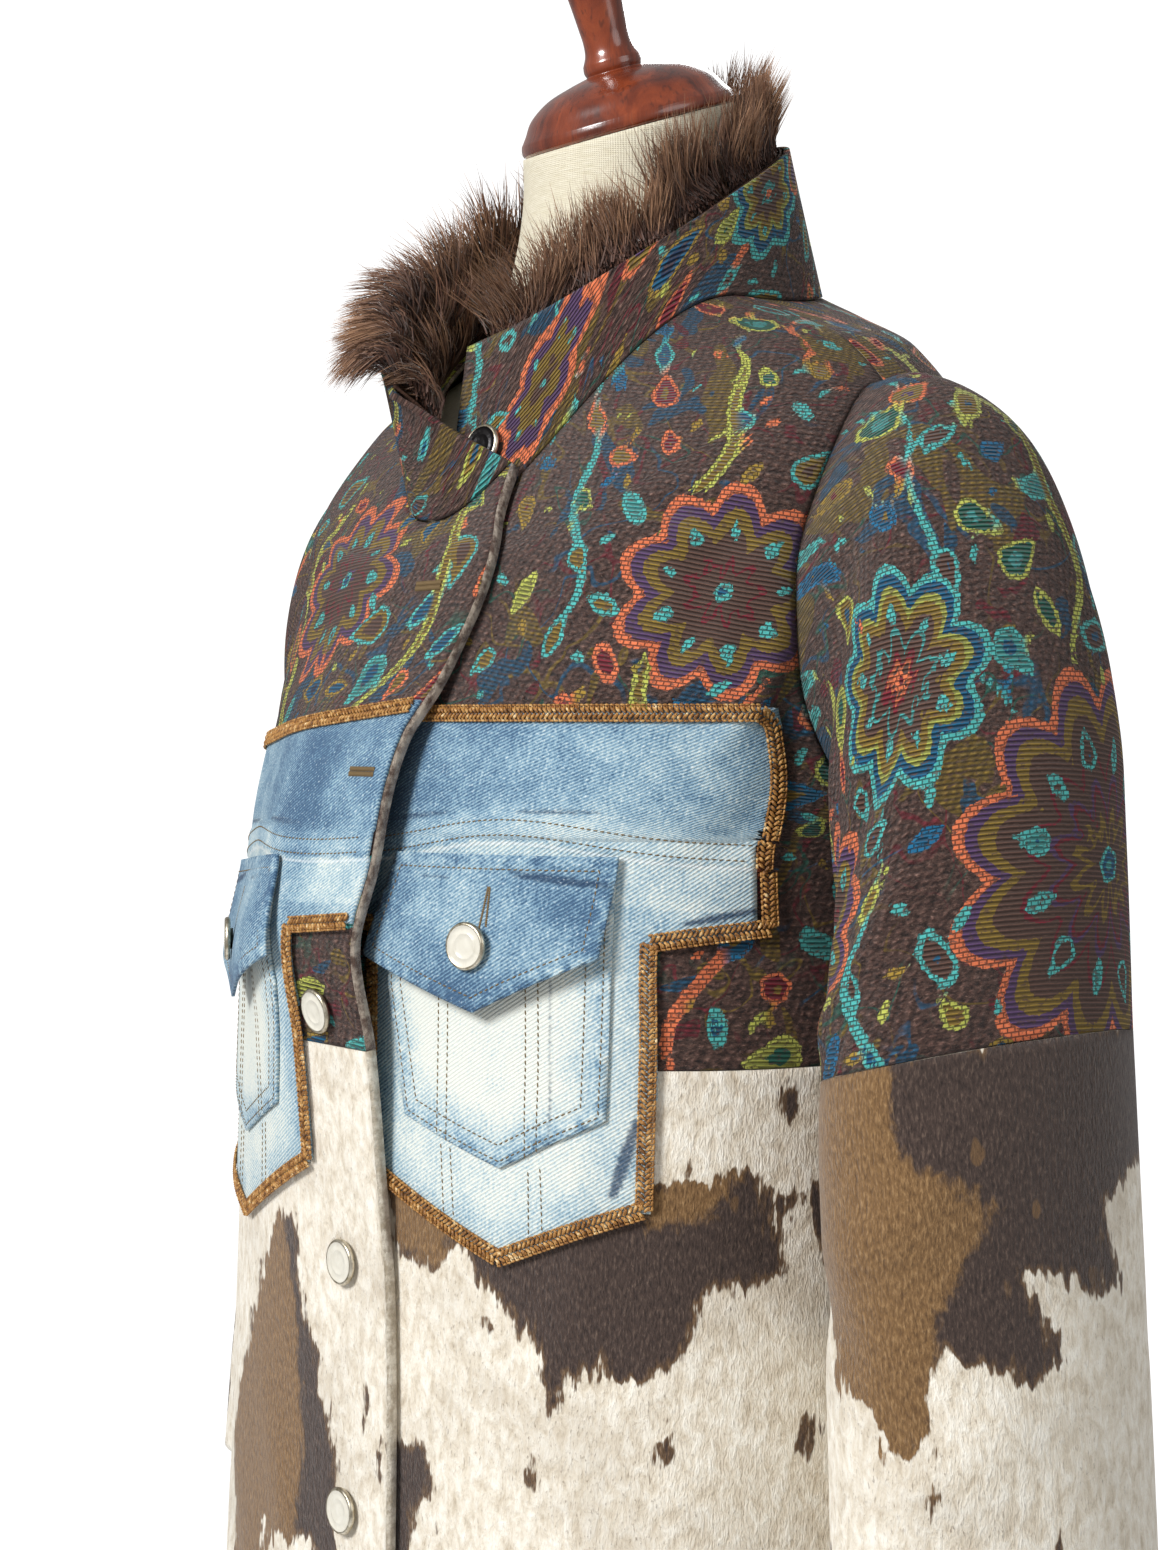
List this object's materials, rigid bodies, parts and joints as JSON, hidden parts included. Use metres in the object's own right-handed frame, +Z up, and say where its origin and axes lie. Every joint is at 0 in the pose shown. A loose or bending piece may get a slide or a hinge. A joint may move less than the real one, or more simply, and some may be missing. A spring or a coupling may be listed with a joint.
{
  "type": "faux fur coat on dress form",
  "caption": "Patchwork coat of tapestry, denim and hide-print faux fur with a fur-lined stand collar, worn by a limbless dress form on a pole and round foot.",
  "frame": {"origin": "on the floor, at the centre of the foot's underside", "axes": "+Z up, the coat's front at -Y, the wearer's left at +X"},
  "size_m": [0.639, 0.4, 1.624],
  "materials": {
    "tapestry": "matte brown chenille jacquard with a multicoloured pattern",
    "hide": "short matte nap printed as a cow hide",
    "fur": "long soft pile",
    "denim": "washed matte twill",
    "braid": "matte plaited cord",
    "button": "satin metal ring with a pale face",
    "linen": "matte plain weave",
    "wood": "glossy varnish"
  },
  "bodies": {
    "root": {"front_left_yoke": "tapestry", "front_left_skirt": "hide", "front_right_yoke": "tapestry", "front_right_skirt": "hide", "back_yoke": "tapestry", "back_skirt": "hide", "sleeve_left_upper": "tapestry", "sleeve_left_lower": "hide", "sleeve_right_upper": "tapestry", "sleeve_right_lower": "hide", "collar": "tapestry", "collar_fur": "fur", "denim_left": "denim", "pocket_left": "denim", "flap_left": "denim", "braid_left": "braid", "denim_right": "denim", "pocket_right": "denim", "flap_right": "denim", "braid_right": "braid", "button_front_1": "button", "button_front_2": "button", "button_front_3": "button", "button_front_4": "button", "button_flap_left": "button", "button_flap_right": "button", "button_neck": "button", "form_body": "linen", "form_cap": "wood", "form_pole": "wood", "form_base": "wood"}
  },
  "joints": []
}
